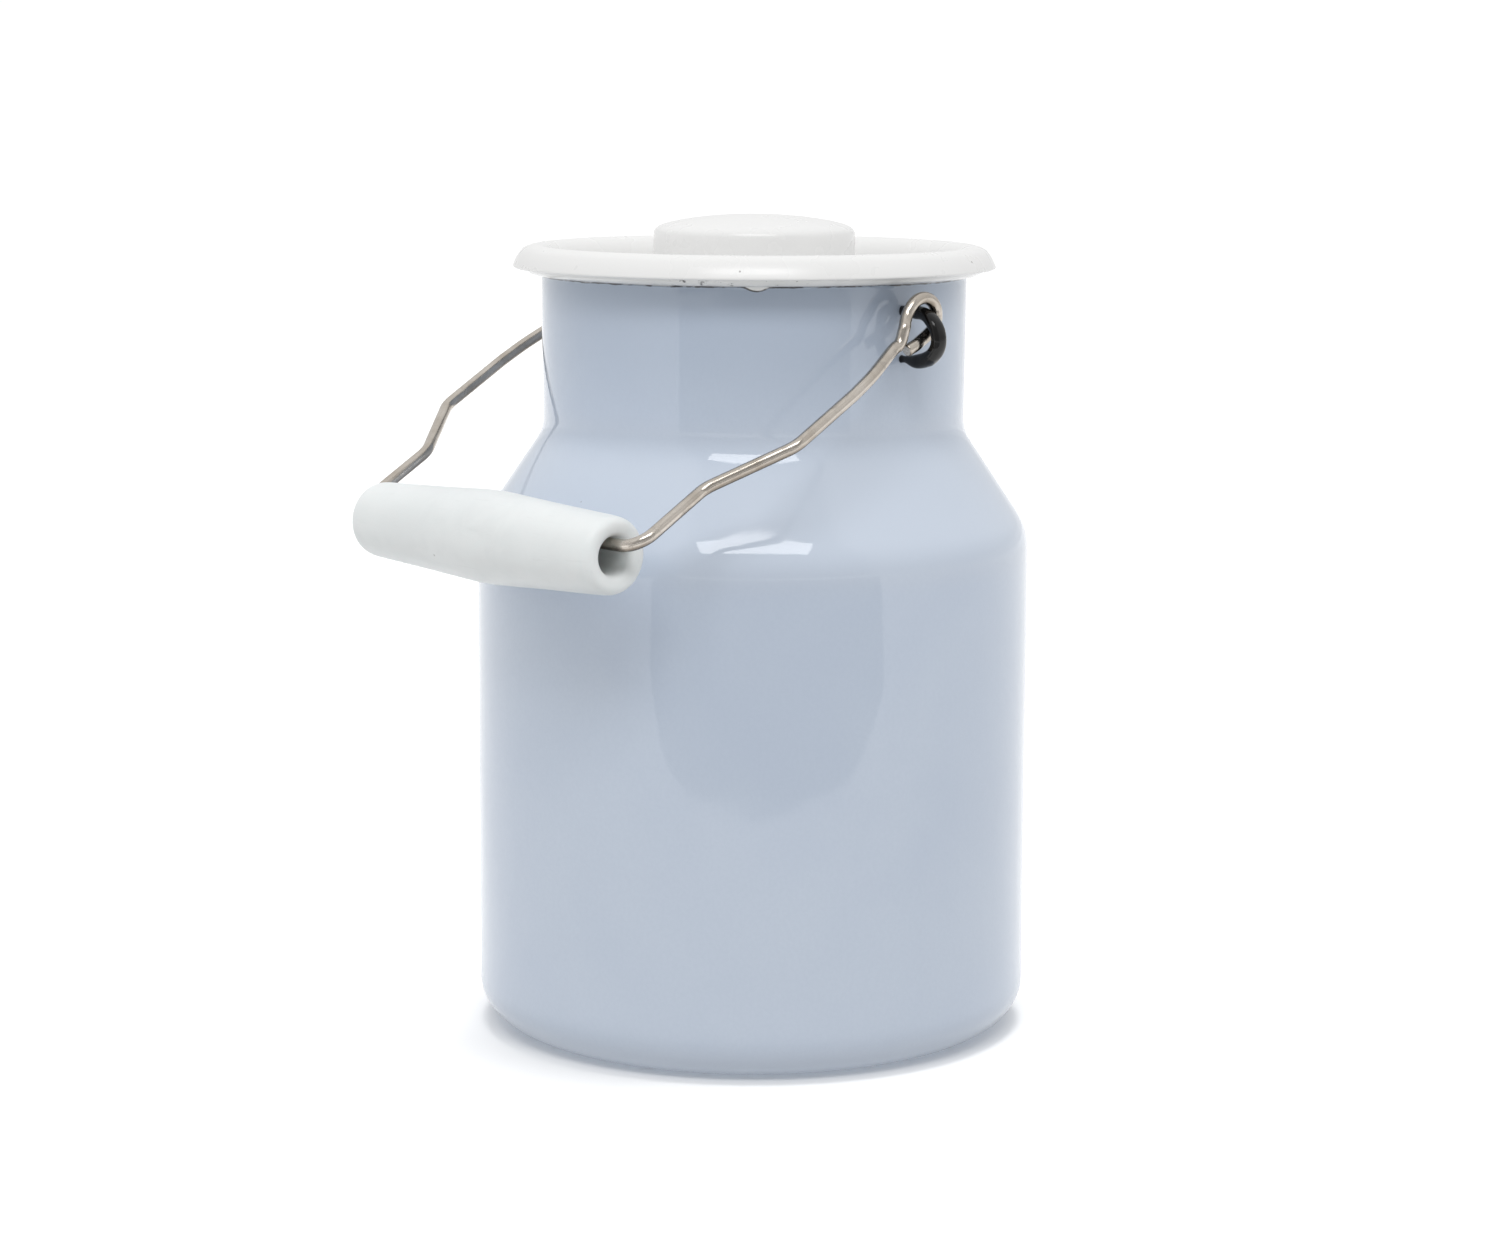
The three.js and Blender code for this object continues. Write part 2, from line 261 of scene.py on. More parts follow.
# ------------------------------------------------------------------ shader nodes
class Nodes:
    """A short way to write node materials."""

    def __init__(self, name):
        self.mat = bpy.data.materials.new(name)
        self.mat.use_nodes = True
        self.t = self.mat.node_tree
        self.t.nodes.clear()
        self.out = self.t.nodes.new("ShaderNodeOutputMaterial")
        self.shader = self.t.nodes.new("ShaderNodeBsdfPrincipled")
        self.t.links.new(self.shader.outputs[0], self.out.inputs[0])
        self.object = self.t.nodes.new("ShaderNodeTexCoord").outputs["Object"]

    def put(self, socket, value):
        if isinstance(value, bpy.types.NodeSocket):
            self.t.links.new(value, socket)
        elif value is not None:
            socket.default_value = value

    def set(self, **values):
        for key, value in values.items():
            self.put(self.shader.inputs[key.replace("_", " ")], value)

    def math(self, op, a, b=None, c=None, clamp=False):
        n = self.t.nodes.new("ShaderNodeMath")
        n.operation = op
        n.use_clamp = clamp
        for s, v in zip(n.inputs, (a, b, c)):
            self.put(s, v)
        return n.outputs[0]

    def vmath(self, op, a, b=None, out=0):
        n = self.t.nodes.new("ShaderNodeVectorMath")
        n.operation = op
        self.put(n.inputs[0], a)
        if b is not None:
            self.put(n.inputs[1], b)
        return n.outputs[out]

    def scaled(self, factors, source=None):
        n = self.t.nodes.new("ShaderNodeMapping")
        self.put(n.inputs["Vector"], source or self.object)
        n.inputs["Scale"].default_value = factors
        return n.outputs[0]

    def split(self, source=None):
        n = self.t.nodes.new("ShaderNodeSeparateXYZ")
        self.put(n.inputs[0], source or self.object)
        return n.outputs

    def join(self, x, y, z):
        n = self.t.nodes.new("ShaderNodeCombineXYZ")
        for s, v in zip(n.inputs, (x, y, z)):
            self.put(s, v)
        return n.outputs[0]

    def noise(self, scale, detail=2.0, rough=0.5, warp=0.0, source=None, offset=None):
        n = self.t.nodes.new("ShaderNodeTexNoise")
        src = source or self.object
        if offset:
            src = self.vmath("ADD", src, offset)
        self.put(n.inputs["Vector"], src)
        n.inputs["Scale"].default_value = scale
        n.inputs["Detail"].default_value = detail
        n.inputs["Roughness"].default_value = rough
        n.inputs["Distortion"].default_value = warp
        return n.outputs["Fac"]

    def cells(self, scale, source=None, feature="F1"):
        n = self.t.nodes.new("ShaderNodeTexVoronoi")
        n.feature = feature
        self.put(n.inputs["Vector"], source or self.object)
        n.inputs["Scale"].default_value = scale
        return n.outputs

    def ramp(self, value, low, high, a=0.0, b=1.0, smooth=True):
        n = self.t.nodes.new("ShaderNodeMapRange")
        n.interpolation_type = "SMOOTHSTEP" if smooth else "LINEAR"
        self.put(n.inputs["Value"], value)
        for key, v in (("From Min", low), ("From Max", high), ("To Min", a), ("To Max", b)):
            self.put(n.inputs[key], v)
        return n.outputs[0]

    def mix(self, fac, a, b):
        n = self.t.nodes.new("ShaderNodeMix")
        n.data_type = "RGBA"
        self.put(n.inputs[0], fac)
        self.put(n.inputs[6], a if isinstance(a, bpy.types.NodeSocket) else (*a, 1.0))
        self.put(n.inputs[7], b if isinstance(b, bpy.types.NodeSocket) else (*b, 1.0))
        return n.outputs[2]

    def attribute(self, name):
        n = self.t.nodes.new("ShaderNodeAttribute")
        n.attribute_name = name
        return n.outputs["Fac"]

    def bump(self, height, distance, strength=1.0, normal=None):
        n = self.t.nodes.new("ShaderNodeBump")
        n.inputs["Strength"].default_value = strength
        n.inputs["Distance"].default_value = distance
        self.put(n.inputs["Height"], height)
        if normal is not None:
            self.put(n.inputs["Normal"], normal)
        return n.outputs[0]

    def near(self, point, radius, soft=0.5):
        """1 inside a ball about point, falling to 0 over its soft outer part."""
        d = self.vmath("DISTANCE", self.object, tuple(point), out=1)
        return self.ramp(d, radius * (1 - soft), radius, 1.0, 0.0)

    def top(self, a, b):
        return self.math("MAXIMUM", a, b)

    def specks(self, scale, size, share, offset=0.0):
        """Sparse small dots: size is a share of a cell, share is how many cells."""
        v = self.cells(scale, self.vmath("ADD", self.object, (offset, offset * 0.6, -offset)))
        keep = self.math("LESS_THAN", self.split(v["Color"])[0], share)
        return self.math("MULTIPLY", self.ramp(v["Distance"], size * 0.5, size, 1.0, 0.0), keep)


def polar(deg, r, z):
    """A point in metres at an angle from the viewing side of the can."""
    w = -VIEW_TURN + math.radians(deg)
    return (r * math.cos(w) * MM, r * math.sin(w) * MM, z * MM)


# Tone of the pale blue outside, with a fine orange-peel gloss.
def enamel_gloss(n, peel=0.000004, swell=0.00004):
    fine = n.bump(n.noise(620, 2.0, 0.5), peel)
    broad = n.bump(n.noise(85, 1.0, 0.4, offset=(3.1, 0.4, 1.7)), swell, 0.8, fine)
    return broad


def blue_enamel():
    n = Nodes("enamel_blue")
    x, y, z = n.split()
    # cloudiness of the fired coat, and its fine mottle
    cloud = n.noise(16, 3.0, 0.55, 0.4)
    mottle = n.noise(1100, 2.0, 0.6, offset=(0.7, 0.2, 0.9))
    tone = n.mix(n.ramp(cloud, 0.3, 0.7), (0.514, 0.586, 0.702), (0.547, 0.618, 0.725))
    tone = n.mix(n.ramp(mottle, 0.25, 0.75, 0.0, 0.16), tone, (0.450, 0.520, 0.635))
    # the coat thins on the rounded corners and shows a little greyer there
    for at, width in ((124.0, 7.0), (154.5, 6.0), (4.0, 6.0)):
        band = n.ramp(n.math("ABSOLUTE", n.math("SUBTRACT", z, at * MM)), 0.0, width * MM, 0.22, 0.0)
        tone = n.mix(band, tone, (0.555, 0.600, 0.675))
    # painted light: the cone between the shoulder's two rounds is painted a lighter blue all round, for the light it
    # catches from above
    cone_painted_light = n.math("MULTIPLY", n.ramp(z, 0.120, 0.131), n.ramp(z, 0.146, 0.156, 1.0, 0.0))
    tone = n.mix(n.math("MULTIPLY", cone_painted_light, 0.75), tone, (0.620, 0.688, 0.790))
    # painted shade: the neck is painted a deeper blue, most of all just under the rim, for the shade it lies in
    # under the lid's lip
    tone = n.mix(n.ramp(z, 0.152, 0.176, 0.0, 0.55), tone, (0.405, 0.475, 0.585))
    tone = n.mix(n.ramp(z, 0.180, 0.1905, 0.0, 0.55), tone, (0.315, 0.375, 0.465))
    # white coat that runs from the rim a little way on to the neck
    low = n.noise(150, 2.0, 0.6, offset=(1.3, 5.1, 0.0))
    fine = n.noise(900, 2.0, 0.5, offset=(4.2, 0.3, 0.0))
    edge = n.math("ADD", n.ramp(low, 0.2, 0.8, -0.00020, 0.00016, False),
                  n.ramp(fine, 0.2, 0.8, -0.00007, 0.00007, False))
    drip = n.math("MAXIMUM", n.near(polar(0.6, 53.6, 190.9), 0.0034, 0.8), n.near(polar(-112, 53.6, 190.9), 0.0036, 0.8))
    edge = n.math("ADD", edge, n.math("MULTIPLY", drip, 0.0011))
    height = n.math("ADD", n.math("SUBTRACT", z, 0.19085), edge)
    white = n.ramp(height, -0.00008, 0.00008)
    line = n.ramp(n.math("ABSOLUTE", height), 0.00012, 0.00036, 1.0, 0.0)
    broken = n.ramp(n.noise(210, 3.0, 0.65, offset=(9.2, 1.1, 3.3)), 0.40, 0.56)
    line = n.math("MULTIPLY", line, n.ramp(broken, 0.0, 1.0, 0.42, 1.0))
    # pinholes, and wear where the base meets what it stands on
    dots = n.specks(150, 0.05, 0.05)
    rub_at = n.ramp(z, 0.0, 0.0022, 1.0, 0.0)
    rub = n.math("MULTIPLY", rub_at, n.ramp(n.noise(320, 4.0, 0.7, offset=(2.0, 2.0, 0.0)), 0.52, 0.68))
    tone = n.mix(n.math("MULTIPLY", dots, 0.6), tone, (0.14, 0.14, 0.16))
    tone = n.mix(n.math("MULTIPLY", rub, 0.55), tone, (0.33, 0.34, 0.37))
    tone = n.mix(white, tone, (0.80, 0.80, 0.785))
    tone = n.mix(n.math("MULTIPLY", line, 0.95), tone, (0.035, 0.032, 0.030))
    gloss = n.ramp(n.noise(60, 3.0, 0.6, offset=(0.2, 8.0, 1.0)), 0.25, 0.75, 0.035, 0.065)
    gloss = n.math("ADD", gloss, n.math("MULTIPLY", n.top(rub, line), 0.3))
    n.set(Base_Color=tone, Roughness=gloss, IOR=1.5, Normal=enamel_gloss(n))
    return n.mat


def white_enamel(name, tint=(0.828, 0.828, 0.822), marks=()):
    n = Nodes(name)
    x, y, z = n.split()
    cloud = n.noise(22, 3.0, 0.55, 0.3)
    tone = n.mix(n.ramp(cloud, 0.3, 0.7), tuple(c * 0.982 for c in tint), tint)
    mottle = n.noise(1300, 2.0, 0.6)
    tone = n.mix(n.ramp(mottle, 0.3, 0.75, 0.0, 0.10), tone, tuple(c * 0.93 for c in tint))
    dots = n.specks(130, 0.045, 0.05, 0.4)
    for point, radius in marks:
        dots = n.top(dots, n.near(point, radius, 0.5))
    tone = n.mix(n.math("MULTIPLY", dots, 0.7), tone, (0.16, 0.15, 0.14))
    gloss = n.ramp(n.noise(70, 3.0, 0.6, offset=(1.2, 0.0, 4.0)), 0.25, 0.75, 0.24, 0.34)
    n.set(Base_Color=tone, Roughness=gloss, IOR=1.5, Normal=enamel_gloss(n, 0.000004, 0.000012))
    return n.mat


def rim_enamel():
    """White coat on the rolled rim: thin and chipped along its underside."""
    n = Nodes("enamel_rim")
    x, y, z = n.split()
    cloud = n.noise(120, 3.0, 0.55, 0.3)
    tone = n.mix(n.ramp(cloud, 0.3, 0.7), (0.80, 0.80, 0.785), (0.835, 0.835, 0.825))
    band = n.math("MULTIPLY", n.ramp(z, 0.1912, 0.1919, 1.0, 0.0), 1.0)
    chip = n.ramp(n.noise(420, 4.0, 0.65, offset=(6.0, 2.0, 0.0)), 0.60, 0.68)
    patch = n.ramp(n.noise(60, 2.0, 0.5, offset=(0.0, 7.0, 1.0)), 0.50, 0.62)
    chip = n.math("MULTIPLY", n.math("MULTIPLY", chip, patch), n.ramp(z, 0.1925, 0.1935, 1.0, 0.0))
    grey = n.math("MULTIPLY", band, n.ramp(n.noise(300, 3.0, 0.6), 0.45, 0.7, 0.0, 0.35))
    tone = n.mix(grey, tone, (0.42, 0.41, 0.39))
    tone = n.mix(n.math("MULTIPLY", chip, 0.85), tone, (0.05, 0.047, 0.045))
    gloss = n.ramp(chip, 0.0, 1.0, 0.17, 0.5)
    n.set(Base_Color=tone, Roughness=gloss, IOR=1.5, Normal=enamel_gloss(n, 0.00001, 0.00008))
    return n.mat


def inside_enamel():
    n = Nodes("enamel_inside")
    x, y, z = n.split()
    tone = n.mix(n.ramp(n.noise(25, 3.0, 0.6, 0.5), 0.3, 0.7), (0.79, 0.79, 0.775), (0.84, 0.84, 0.83))
    # a faint creamy film low on the wall and over the floor
    film = n.math("MULTIPLY", n.ramp(z, 0.006, 0.06, 1.0, 0.0), n.ramp(n.noise(40, 4.0, 0.6), 0.35, 0.65, 0.1, 0.5))
    tone = n.mix(film, tone, (0.76, 0.735, 0.68))
    dots = n.specks(110, 0.05, 0.08, 1.7)
    tone = n.mix(n.math("MULTIPLY", dots, 0.6), tone, (0.18, 0.17, 0.16))
    gloss = n.ramp(film, 0.0, 0.5, 0.16, 0.30)
    n.set(Base_Color=tone, Roughness=gloss, IOR=1.5, Normal=enamel_gloss(n))
    return n.mat


def base_enamel():
    """Underside: the same blue, dulled and scuffed where it has stood."""
    n = Nodes("enamel_base")
    x, y, z = n.split()
    r = n.math("SQRT", n.math("ADD", n.math("MULTIPLY", x, x), n.math("MULTIPLY", y, y)))
    tone = n.mix(n.ramp(n.noise(20, 3.0, 0.6, 0.4), 0.3, 0.7), (0.500, 0.560, 0.660), (0.545, 0.605, 0.700))
    ring = n.math("MULTIPLY", n.ramp(r, 0.046, 0.055), n.ramp(r, 0.0585, 0.0600, 1.0, 0.0))
    scuff = n.ramp(n.noise(260, 5.0, 0.7, 1.0), 0.47, 0.66)
    scuff = n.math("MULTIPLY", scuff, n.ramp(ring, 0.0, 1.0, 0.12, 0.8))
    tone = n.mix(scuff, tone, (0.30, 0.31, 0.33))
    # three small pin marks from firing
    pins = None
    for deg in (20, 140, 260):
        w = math.radians(deg)
        p = n.near((0.040 * math.cos(w), 0.040 * math.sin(w), 0.0), 0.0016, 0.4)
        pins = p if pins is None else n.top(pins, p)
    tone = n.mix(n.math("MULTIPLY", pins, 0.9), tone, (0.06, 0.05, 0.045))
    gloss = n.math("ADD", n.ramp(scuff, 0.0, 1.0, 0.20, 0.55), n.math("MULTIPLY", pins, 0.2))
    rise = n.math("SUBTRACT", n.noise(420, 3.0, 0.6), n.math("MULTIPLY", pins, 1.0))
    n.set(Base_Color=tone, Roughness=gloss, IOR=1.5, Normal=n.bump(rise, 0.00008))
    return n.mat


def black_enamel():
    n = Nodes("enamel_black")
    geo = n.t.nodes.new("ShaderNodeNewGeometry")
    edge = n.ramp(geo.outputs["Pointiness"], 0.52, 0.60)
    worn = n.math("MULTIPLY", edge, n.ramp(n.noise(900, 3.0, 0.6), 0.42, 0.62))
    tone = n.mix(n.ramp(n.noise(260, 3.0, 0.6), 0.3, 0.7), (0.0030, 0.0030, 0.0034), (0.0075, 0.0072, 0.0070))
    tone = n.mix(n.math("MULTIPLY", worn, 0.55), tone, (0.075, 0.062, 0.050))
    dots = n.specks(900, 0.12, 0.10, 2.0)
    tone = n.mix(n.math("MULTIPLY", dots, 0.5), tone, (0.10, 0.09, 0.08))
    gloss = n.ramp(n.noise(500, 3.0, 0.6, offset=(3.0, 0.0, 1.0)), 0.3, 0.7, 0.05, 0.14)
    gloss = n.math("ADD", gloss, n.math("MULTIPLY", worn, 0.22))
    normal = n.bump(n.noise(330, 1.5, 0.5), 0.00016, 0.6, n.bump(n.noise(1500, 2.0, 0.5), 0.00001))
    n.set(Base_Color=tone, Roughness=gloss, IOR=1.52, Normal=normal)
    n.shader.inputs["Specular IOR Level"].default_value = 0.30
    return n.mat


def wire_steel():
    n = Nodes("steel_wire")
    u, a = n.attribute("along"), n.attribute("around")
    turn = n.math("MULTIPLY", a, 2 * math.pi)
    ring = n.join(n.math("MULTIPLY", u, 26.0), n.math("COSINE", turn), n.math("SINE", turn))
    drawn = n.noise(9.0, 3.0, 0.6, 0.0, ring)
    hair = n.noise(26.0, 2.0, 0.6, 0.0, n.vmath("ADD", ring, (3.0, 1.0, 2.0)))
    cloud = n.noise(90, 3.0, 0.6, 0.3)
    grain = n.noise(2600, 2.0, 0.6)
    tone = n.mix(n.ramp(cloud, 0.3, 0.7), (0.430, 0.385, 0.330), (0.575, 0.535, 0.485))
    tone = n.mix(n.ramp(drawn, 0.35, 0.72, 0.0, 0.45), tone, (0.42, 0.375, 0.325))
    tone = n.mix(n.ramp(grain, 0.45, 0.75, 0.0, 0.25), tone, (0.36, 0.33, 0.30))
    # dull scuffs, and short nicks that the bending tool left
    scuff = n.ramp(n.noise(300, 4.0, 0.65, offset=(0.0, 3.0, 0.0)), 0.56, 0.70)
    tone = n.mix(n.math("MULTIPLY", scuff, 0.45), tone, (0.30, 0.275, 0.25))
    # painted shade: the side of the wire that faces down at rest is darkened towards brown, more along the drawn
    # streaks
    under = n.ramp(n.math("ADD", n.attribute("under"), n.math("MULTIPLY", n.math("SUBTRACT", drawn, 0.5), 0.7)), -0.05, 0.70)
    tone = n.mix(n.math("MULTIPLY", under, 0.82), tone, (0.135, 0.108, 0.082))
    gloss = n.math("ADD", n.ramp(drawn, 0.3, 0.7, 0.15, 0.24), n.math("MULTIPLY", scuff, 0.14))
    height = n.math("ADD", n.math("MULTIPLY", drawn, 0.8), n.math("MULTIPLY", hair, 0.4))
    normal = n.bump(height, 0.000018, 0.8, n.bump(n.noise(240, 2.0, 0.5), 0.00002, 0.3))
    n.set(Base_Color=tone, Metallic=1.0, Roughness=gloss, Normal=normal)
    return n.mat


def cut_steel():
    """Sheared end faces of the wire: rough, in a mottled tone."""
    n = Nodes("steel_cut")
    tone = n.mix(n.ramp(n.noise(1800, 4.0, 0.7), 0.3, 0.7), (0.34, 0.31, 0.28), (0.60, 0.57, 0.53))
    n.set(Base_Color=tone, Metallic=1.0, Roughness=n.ramp(n.noise(1500, 3.0, 0.6), 0.3, 0.7, 0.38, 0.55),
          Normal=n.bump(n.noise(2200, 3.0, 0.6, 1.0), 0.00006))
    return n.mat


def white_plastic():
    n = Nodes("plastic_white")
    x, y, z = n.split()
    cloud = n.noise(60, 3.0, 0.55, 0.4)
    tone = n.mix(n.ramp(cloud, 0.3, 0.7), (0.800, 0.830, 0.832), (0.835, 0.862, 0.862))
    # handling leaves the swollen middle a shade greyer and smoother
    hold = n.math("MULTIPLY", n.ramp(n.math("ABSOLUTE", x), 0.012, 0.036, 1.0, 0.0),
                  n.ramp(n.noise(120, 4.0, 0.65, 0.6), 0.40, 0.68))
    tone = n.mix(n.math("MULTIPLY", hold, 0.28), tone, (0.735, 0.765, 0.768))
    dots = n.top(n.specks(210, 0.05, 0.05, 0.9), n.near(GRIP_SPECK, 0.00042, 0.5))
    tone = n.mix(n.math("MULTIPLY", dots, 0.55), tone, (0.33, 0.33, 0.32))
    scratch = n.ramp(n.noise(900, 3.0, 0.6, source=n.scaled((0.10, 1.0, 1.0))), 0.60, 0.72)
    tone = n.mix(n.math("MULTIPLY", scratch, 0.10), tone, (0.60, 0.62, 0.62))
    gloss = n.ramp(hold, 0.0, 1.0, 0.44, 0.34)
    gloss = n.math("ADD", gloss, n.ramp(n.noise(1600, 2.0, 0.5), 0.3, 0.7, -0.03, 0.05))
    normal = n.bump(n.noise(1500, 2.0, 0.5), 0.00003, 0.8, n.bump(n.noise(70, 1.0, 0.5), 0.0002, 0.6))
    n.set(Base_Color=tone, Roughness=gloss, IOR=1.49, Normal=normal)
    n.set(Subsurface_Weight=0.35, Subsurface_Radius=(0.9, 1.0, 1.0), Subsurface_Scale=0.0022)
    return n.mat


# ------------------------------------------------------------------ can body
LEAN = math.atan2(BODY_R - NECK_R_LOW, SHOULDER_TOP_Z - SHOULDER_LOW_Z)
DROP = SHEET * math.tan(LEAN / 2)


def body_move(x, y, z):
    """Hand-finished sheet is not quite true: a slow in-and-out of a tenth or two."""
    r = math.hypot(x, y)
    if r < 1e-6:
        return (x, y, z)
    fade = min(1.0, max(0.0, z / 14.0)) * min(1.0, max(0.0, (190.5 - z) / 14.0))
    dr = 0.16 * fade * wave(x, y, z, 46.0, 3.7) * 2.0
    # the white coat hangs in small beads along the under edge of the roll
    deg = math.degrees(math.atan2(y, x) + VIEW_TURN)
    under = math.exp(-((z - 190.9) / 0.65) ** 2) * (1.0 if r > 53.0 else 0.0)
    bead = 0.36 * math.exp(-((deg - 0.6) / 2.2) ** 2) + 0.30 * math.exp(-((deg + 112) / 2.4) ** 2)
    dr += under * (bead + 0.10 * wave(x, y, 0, 7.0, 9.1))
    k = (r + dr) / r
    return (x * k, y * k, z)


def build_body():
    outer = rounded([(0, 0, 0), (BODY_R, 0, BASE_CORNER_R), (BODY_R, SHOULDER_LOW_Z, SHOULDER_LOW_R),
                     (NECK_R_LOW, SHOULDER_TOP_Z, SHOULDER_TOP_R), (NECK_R_TOP, 189.6, 0)], 20)
    neck = spline([(53.55, 189.6), (53.57, 190.2), (53.66, 190.62), (53.92, 190.93), (54.35, 191.08)], 4)
    mid = RIM_OUT_R - RIM_HALF_W
    roll = [(mid + RIM_HALF_W * math.cos(math.radians(a)), RIM_MID_Z + RIM_HALF_H * math.sin(math.radians(a)))
            for a in np.linspace(-92, 180, 46)]
    inner = rounded([(NECK_R_TOP - SHEET, RIM_MID_Z - RIM_HALF_H, 0),
                     (NECK_R_LOW - SHEET, SHOULDER_TOP_Z - DROP, SHOULDER_TOP_R + SHEET),
                     (BODY_R - SHEET, SHOULDER_LOW_Z - DROP, SHOULDER_LOW_R - SHEET),
                     (BODY_R - SHEET, SHEET, BASE_CORNER_R - SHEET), (0, SHEET, 0)], 14)
    base = [(0.0, 0.0), (20.0, 0.0), (40.0, 0.0), (54.0, 0.0)]
    outer = eased([(54.0, 0.0)] + [q for q in filled(outer, 0.5) if q[0] > 54.2 or q[1] > 20], 4.0, 1.0)
    chain = base + outer[1:] + neck[1:] + roll + filled(inner, 6.0)
    obj = revolve("can_shell", chain, 288, body_move)
    mesh = obj.data
    for m in (blue_enamel(), rim_enamel(), inside_enamel(), base_enamel()):
        mesh.materials.append(m)
    index = []
    for p in mesh.polygons:
        c = p.center / MM
        r = math.hypot(c.x, c.y)
        wall = p.normal.x * c.x + p.normal.y * c.y
        if c.z > 191.0 and r > 52.0:
            index.append(1)
        elif c.z < 0.01:
            index.append(3)
        elif (wall < 0 and c.z > 2.0) or (c.z > 0.5 and c.z < 20 and p.normal.z > 0.05):
            index.append(2)
        else:
            index.append(0)
    mesh.polygons.foreach_set("material_index", index)
    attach(obj, "can")
    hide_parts("can_body")
    return obj


# ------------------------------------------------------------------ ears
# x, z from PIVOT_Z, half width along Y, half thickness
EAR_LINE = [
    (53.1, 1.15, 1.15, 1.25), (53.8, 1.15, 1.18, 1.28), (55.2, 1.15, 1.42, 1.42), (57.2, 1.08, 1.72, 1.58),
    (59.2, 0.95, 1.80, 1.60), (61.0, 0.70, 1.78, 1.55), (62.3, 0.20, 1.82, 1.55), (63.55, -0.6, 1.95, 1.58),
    (64.7, -1.7, 2.05, 1.50), (65.55, -3.1, 2.10, 1.42), (66.0, -4.7, 2.10, 1.40), (65.95, -6.3, 2.10, 1.45),
    (65.25, -7.8, 2.10, 1.60), (64.0, -9.05, 2.05, 1.75), (62.35, -9.95, 2.0, 1.85), (60.5, -10.5, 1.88, 1.85),
    (58.7, -10.75, 1.65, 1.68), (57.0, -10.7, 1.32, 1.35), (55.7, -10.55, 1.0, 1.0), (54.8, -10.5, 0.80, 0.82),
    (53.9, -10.5, 0.80, 0.84), (53.1, -10.5, 0.95, 1.0)]


def build_ear(sign, name, material):
    """A thick bar bent to a C, pinched at its lower foot, under a heavy coat."""
    line = spline(EAR_LINE, 5)
    path = [(q[0], 0.0, q[1] + PIVOT_Z) for q in line]

    def shape(i, u):
        return section("", line[i][2], line[i][3], 32, 2.4)

    obj = sweep(name, path, shape, (0, 1, 0))
    mesh = obj.data
    for v in mesh.vertices:
        p = v.co / MM
        v.co += v.normal * MM * 0.10 * wave(p.x, p.y, p.z, 3.1, 5.0 + sign)
    if sign < 0:
        for v in mesh.vertices:
            v.co.x, v.co.y = -v.co.x, -v.co.y
    mesh.materials.append(material)
    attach(obj, "can")
    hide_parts("ear_right" if sign > 0 else "ear_left")
    return obj


# ------------------------------------------------------------------ lid
def lid_move(x, y, z):
    r = math.hypot(x, y)
    if r < 1e-6:
        return (x, y, z)
    fade = min(1.0, max(0.0, (r - 56.0) / 3.0))
    dr = 0.08 * wave(x, y, 0, 34.0, 1.9, 1) * fade
    dz = 0.08 * wave(x, y, 0, 44.0, 6.3, 1) * min(1.0, r / 30.0)
    k = (r + dr) / r
    return (x * k, y * k, z + dz)


def build_lid():
    wall = PLUG_R - SHEET
    floor = rounded([(0, LID_FLOOR_Z, 0), (wall, LID_FLOOR_Z, 2.6), (wall, 193.0, 0)], 12)
    crest = spline([(wall, 193.0), (50.72, 193.9), (50.98, 195.4), (51.8, 196.9), (53.2, 198.0), (55.2, 198.4),
                    (57.0, 198.1), (58.4, 197.3), (59.5, 195.9), (60.3, 194.4), (60.74, 193.3)], 6)
    hem = spline([(60.74, 193.3), (60.72, 193.02), (60.52, 192.82), (60.2, 192.74), (59.86, 192.82),
                  (59.66, 193.02), (59.6, 193.3)], 3)
    under = spline([(59.6, 193.3), (59.05, 194.4), (58.35, 195.4), (57.5, 196.35), (56.55, 196.95), (55.2, 197.2),
                    (53.75, 196.95), (52.75, 196.1), (52.1, 195.0), (51.92, 194.2), (PLUG_R, 193.4)], 4)
    plug = rounded([(PLUG_R, 193.4, 0), (PLUG_R, LID_FLOOR_Z - SHEET, 2.6 + SHEET), (0, LID_FLOOR_Z - SHEET, 0)], 12)
    chain = filled(floor, 3.0) + crest[1:] + hem[1:] + under[1:] + filled(plug, 3.0)[1:]
    obj = revolve("lid_pressing", chain, 256, lid_move)
    obj.data.materials.append(white_enamel("enamel_lid", marks=(
        (polar(-3.2, 60.0, 194.9), 0.00034), (polar(63, 59.6, 195.6), 0.0004), (polar(171, 60.2, 194.5), 0.0005),
        (polar(35, 20.0, 205.0), 0.0003))))
    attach(obj, "lid")
    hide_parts("lid_shell")
    return obj


def knob_move(x, y, z):
    r = math.hypot(x, y)
    if r < 1e-6:
        return (x, y, z)
    k = (r + 0.08 * wave(x, y, z, 26.0, 4.4, 1) * min(1.0, r / 15.0)) / r
    return (x * k, y * k, z - 0.04 * (1.0 + wave(x, y, 0, 24.0, 8.8, 1)))


def build_knob():
    foot = spline([(28.0, 189.02), (26.9, 189.12), (26.05, 189.5), (25.55, 190.3), (25.4, 191.5), (25.4, 196.0)], 6)
    side = filled([(25.4, 196.0), (25.4, 201.0)], 1.0)
    crown = spline([(25.4, 201.0), (25.3, 201.6), (24.98, 202.25), (24.35, 202.85), (23.2, 203.45), (20.1, 204.32),
                    (13.6, 205.35), (6.8, 205.95), (0, KNOB_TOP_Z)], 7)
    inner = [(0, 204.95), (6.8, 204.75), (13.5, 204.15), (19.9, 203.1), (22.8, 202.3), (23.7, 201.7), (24.2, 200.9),
             (24.2, 190.0), (24.0, 188.9), (27.6, 188.85)]
    obj = revolve("lid_grip_knob", foot + side[1:] + crown[1:] + filled(inner, 3.0)[0:], 200, knob_move, closed=True)
    obj.data.materials.append(white_enamel("enamel_knob", (0.815, 0.815, 0.810)))
    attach(obj, "lid")
    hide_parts("lid_knob")
    return obj


